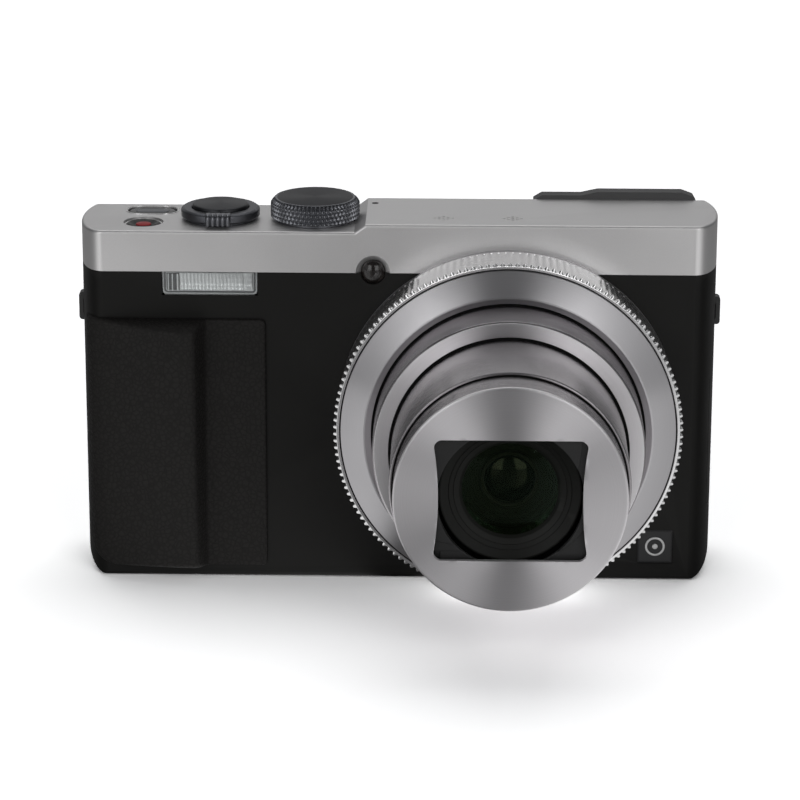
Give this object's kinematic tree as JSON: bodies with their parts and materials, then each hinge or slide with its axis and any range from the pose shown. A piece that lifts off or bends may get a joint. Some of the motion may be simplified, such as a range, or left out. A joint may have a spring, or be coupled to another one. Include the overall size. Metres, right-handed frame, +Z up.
{
  "type": "compact digital camera",
  "caption": "Compact travel-zoom digital camera with its stepped lens barrel extended, knurled control ring, metal top cover, leather-grained hand grip and eye-level finder.",
  "frame": {"origin": "centre of the tripod socket mouth in the flat base", "axes": "+Z up from the base, -Y is where the lens looks, +X to the right when looking at the front of the lens"},
  "size_m": [0.1124, 0.0692, 0.067],
  "materials": {
    "satin_metal_cover": "fine bead-blasted satin silver",
    "black_body": "satin black moulded shell",
    "leather_grip": "leather-grained black rubber",
    "turned_lens_metal": "turned satin aluminium",
    "barrel_metal": "fine anodised silver",
    "dial_metal": "dark grey anodised",
    "black_metal": "matt black",
    "black_plastic": "matt black",
    "gloss_black": "gloss black",
    "lens_glass": "coated optical glass",
    "clear_window": "ribbed clear window",
    "smoked_window": "smoked lens",
    "screen_glass": "dark cover glass",
    "reflector_chrome": "bright",
    "steel": "plain steel",
    "socket_brass": "plated steel",
    "board_green": "solder mask",
    "sensor_ceramic": "sensor package",
    "battery_shell": "dark shell",
    "card_shell": "dark blue shell",
    "cap_sleeve": "shrink sleeve",
    "badge_metal": "dark embossed metal"
  },
  "bodies": {
    "camera_body": {"af_lamp": "smoked_window", "badge_plate": "badge_metal", "battery": "battery_shell", "battery_box": "black_plastic", "case_screws": "steel", "door_hinge_pin": "steel", "evf_eyecup": "leather_grip", "evf_housing": "black_body", "evf_lens": "lens_glass", "flash_capacitor": "cap_sleeve", "flash_reflector": "reflector_chrome", "flash_window": "clear_window", "focus_lens": "lens_glass", "front_cover": "black_body", "grip": "leather_grip", "image_sensor": "sensor_ceramic", "lcd_panel": "gloss_black", "lcd_window": "screen_glass", "lens_flange_ring": "turned_lens_metal", "lens_housing": "black_plastic", "lens_trim_ring": "turned_lens_metal", "main_board": "board_green", "rear_cover": "black_body", "sd_card": "card_shell", "strap_lugs": "black_metal", "thumb_rest": "leather_grip", "top_cover": "satin_metal_cover", "top_switch_board": "board_green", "tripod_socket": "socket_brass", "zoom_motor": "steel"},
    "control_ring": {"control_ring": "turned_lens_metal"},
    "outer_barrel": {"barrel_outer": "barrel_metal"},
    "middle_barrel": {"barrel_middle": "barrel_metal"},
    "front_barrel": {"barrel_front": "barrel_metal", "lens_front_plate": "turned_lens_metal", "front_lens_holder": "black_metal", "front_lens": "lens_glass", "iris_shutter_unit": "black_metal"},
    "zoom_group": {"zoom_group_holder": "black_plastic", "zoom_lens": "lens_glass"},
    "blade_upper_inner": {"barrier_blade_upper_inner": "black_metal"},
    "blade_upper_outer": {"barrier_blade_upper_outer": "black_metal"},
    "blade_lower_inner": {"barrier_blade_lower_inner": "black_metal"},
    "blade_lower_outer": {"barrier_blade_lower_outer": "black_metal"},
    "mode_dial": {"mode_dial": "dial_metal"},
    "zoom_lever": {"zoom_lever": "dial_metal"},
    "shutter_button": {"shutter_button": "dial_metal"},
    "power_button": {"power_button": "dial_metal"},
    "movie_button": {"movie_button": "black_plastic"},
    "playback_button": {"playback_button": "black_plastic"},
    "wifi_button": {"wifi_button": "black_plastic"},
    "display_button": {"display_button": "black_plastic"},
    "delete_button": {"delete_button": "black_plastic"},
    "evf_button": {"evf_button": "black_plastic"},
    "control_dial": {"control_dial": "black_plastic"},
    "menu_set_button": {"menu_set_button": "gloss_black"},
    "diopter_dial": {"diopter_dial": "black_plastic"},
    "battery_door": {"battery_door": "black_body"},
    "door_release_lever": {"door_release_lever": "black_plastic"},
    "terminal_door": {"terminal_door": "black_body"}
  },
  "joints": [
    {"name": "control_ring_turn", "type": "hinge", "parent": "camera_body", "child": "control_ring", "pos_m": [0.0191, -0.0165, 0.0306], "axis": [0, -1, 0], "continuous": true},
    {"name": "lens_retract", "type": "slide", "parent": "camera_body", "child": "outer_barrel", "axis": [0, 1, 0], "range_m": [0, 0.0092]},
    {"name": "middle_barrel_slide", "type": "slide", "parent": "outer_barrel", "child": "middle_barrel", "axis": [0, 1, 0], "range_m": [0, 0.0176]},
    {"name": "front_barrel_slide", "type": "slide", "parent": "middle_barrel", "child": "front_barrel", "axis": [0, 1, 0], "range_m": [0, 0.006]},
    {"name": "zoom_group_slide", "type": "slide", "parent": "front_barrel", "child": "zoom_group", "axis": [0, -1, 0], "range_m": [0, 0.0028]},
    {"name": "blade_upper_inner_swing", "type": "hinge", "parent": "front_barrel", "child": "blade_upper_inner", "pos_m": [0.0055, -0.0555, 0.0286], "axis": [0, 1, 0], "range_deg": [0, 50]},
    {"name": "blade_upper_outer_swing", "type": "hinge", "parent": "front_barrel", "child": "blade_upper_outer", "pos_m": [0.0055, -0.0555, 0.0286], "axis": [0, 1, 0], "range_deg": [0, 25]},
    {"name": "blade_lower_inner_swing", "type": "hinge", "parent": "front_barrel", "child": "blade_lower_inner", "pos_m": [0.0327, -0.0555, 0.0326], "axis": [0, 1, 0], "range_deg": [0, 50]},
    {"name": "blade_lower_outer_swing", "type": "hinge", "parent": "front_barrel", "child": "blade_lower_outer", "pos_m": [0.0327, -0.0555, 0.0326], "axis": [0, 1, 0], "range_deg": [0, 25]},
    {"name": "mode_dial_turn", "type": "hinge", "parent": "camera_body", "child": "mode_dial", "pos_m": [-0.0146, -0.001, 0.065], "axis": [0, 0, 1], "continuous": true},
    {"name": "zoom_lever_swing", "type": "hinge", "parent": "camera_body", "child": "zoom_lever", "pos_m": [-0.0311, -0.001, 0.064], "axis": [0, 0, 1], "range_deg": [-18, 18], "stiffness_Nm_per_rad": 0.02},
    {"name": "shutter_press", "type": "slide", "parent": "camera_body", "child": "shutter_button", "axis": [0, 0, -1], "range_m": [0, 0.0005], "stiffness_N_per_m": 150},
    {"name": "power_press", "type": "slide", "parent": "camera_body", "child": "power_button", "axis": [0, 0, -1], "range_m": [0, 0.0004], "stiffness_N_per_m": 150},
    {"name": "movie_press", "type": "slide", "parent": "camera_body", "child": "movie_button", "axis": [0, 0, -1], "range_m": [0, 0.0003], "stiffness_N_per_m": 150},
    {"name": "playback_press", "type": "slide", "parent": "camera_body", "child": "playback_button", "axis": [0, -1, 0], "range_m": [0, 0.0003], "stiffness_N_per_m": 150},
    {"name": "wifi_press", "type": "slide", "parent": "camera_body", "child": "wifi_button", "axis": [0, -1, 0], "range_m": [0, 0.0003], "stiffness_N_per_m": 150},
    {"name": "display_press", "type": "slide", "parent": "camera_body", "child": "display_button", "axis": [0, -1, 0], "range_m": [0, 0.0003], "stiffness_N_per_m": 150},
    {"name": "delete_press", "type": "slide", "parent": "camera_body", "child": "delete_button", "axis": [0, -1, 0], "range_m": [0, 0.0003], "stiffness_N_per_m": 150},
    {"name": "evf_press", "type": "slide", "parent": "camera_body", "child": "evf_button", "axis": [0, -1, 0], "range_m": [0, 0.0003], "stiffness_N_per_m": 150},
    {"name": "control_dial_turn", "type": "hinge", "parent": "camera_body", "child": "control_dial", "pos_m": [-0.039, 0.0105, 0.022], "axis": [0, -1, 0], "continuous": true},
    {"name": "menu_set_press", "type": "slide", "parent": "camera_body", "child": "menu_set_button", "axis": [0, -1, 0], "range_m": [0, 0.0003], "stiffness_N_per_m": 150},
    {"name": "diopter_turn", "type": "hinge", "parent": "camera_body", "child": "diopter_dial", "pos_m": [0.0283, 0.012, 0.0606], "axis": [0, -1, 0], "range_deg": [-100, 100]},
    {"name": "battery_door_swing", "type": "hinge", "parent": "camera_body", "child": "battery_door", "pos_m": [-0.0114, -0.0021, 0.0014], "axis": [0, -1, 0], "range_deg": [0, 95]},
    {"name": "door_release_slide", "type": "slide", "parent": "battery_door", "child": "door_release_lever", "axis": [1, 0, 0], "range_m": [0, 0.0018]},
    {"name": "terminal_door_swing", "type": "hinge", "parent": "camera_body", "child": "terminal_door", "pos_m": [0.05473, 0.00137, 0.0245], "axis": [0, 0, 1], "range_deg": [0, 90]}
  ],
  "couplings": [
    {"joint": "middle_barrel_slide", "follows": "lens_retract", "ratio": 1.913},
    {"joint": "front_barrel_slide", "follows": "lens_retract", "ratio": 0.65217},
    {"joint": "zoom_group_slide", "follows": "lens_retract", "ratio": 0.30435},
    {"joint": "blade_upper_outer_swing", "follows": "blade_upper_inner_swing", "ratio": 0.5},
    {"joint": "blade_lower_inner_swing", "follows": "blade_upper_inner_swing", "ratio": 1},
    {"joint": "blade_lower_outer_swing", "follows": "blade_upper_inner_swing", "ratio": 0.5}
  ]
}
